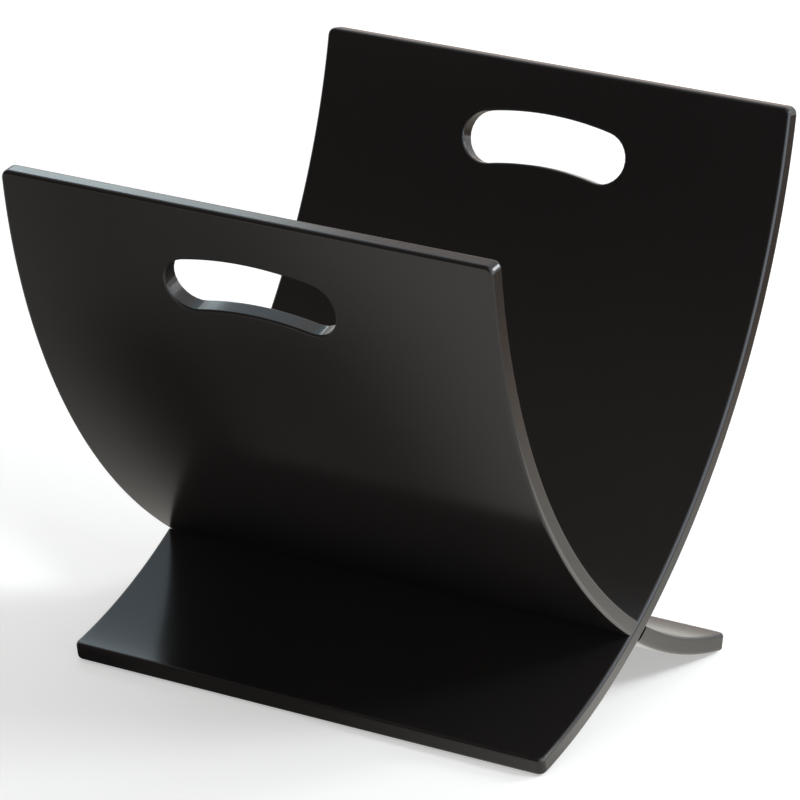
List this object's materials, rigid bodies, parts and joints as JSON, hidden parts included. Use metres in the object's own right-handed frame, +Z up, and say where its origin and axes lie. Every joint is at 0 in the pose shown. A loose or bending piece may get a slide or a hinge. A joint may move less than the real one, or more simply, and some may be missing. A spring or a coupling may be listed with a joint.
{
  "type": "newspaper rack",
  "caption": "Newspaper rack of two like bent-plywood leaves that cross low down in a lap joint and form a curved trough, with an arched hand hole near each top edge.",
  "frame": {"origin": "on the floor, midway between the feet and at mid-width", "axes": "+X to the right along the straight edges, +Y from the front leaf to the back leaf, +Z up"},
  "size_m": [0.33, 0.3724, 0.3347],
  "materials": {
    "black_lacquered_ply": "satin black lacquer over bent plywood",
    "pad_rubber": "matt black rubber"
  },
  "bodies": {
    "root": {"back_leaf": "black_lacquered_ply", "front_leaf": "black_lacquered_ply", "front_left_pad": "pad_rubber", "front_right_pad": "pad_rubber", "rear_left_pad": "pad_rubber", "rear_right_pad": "pad_rubber"}
  },
  "joints": []
}
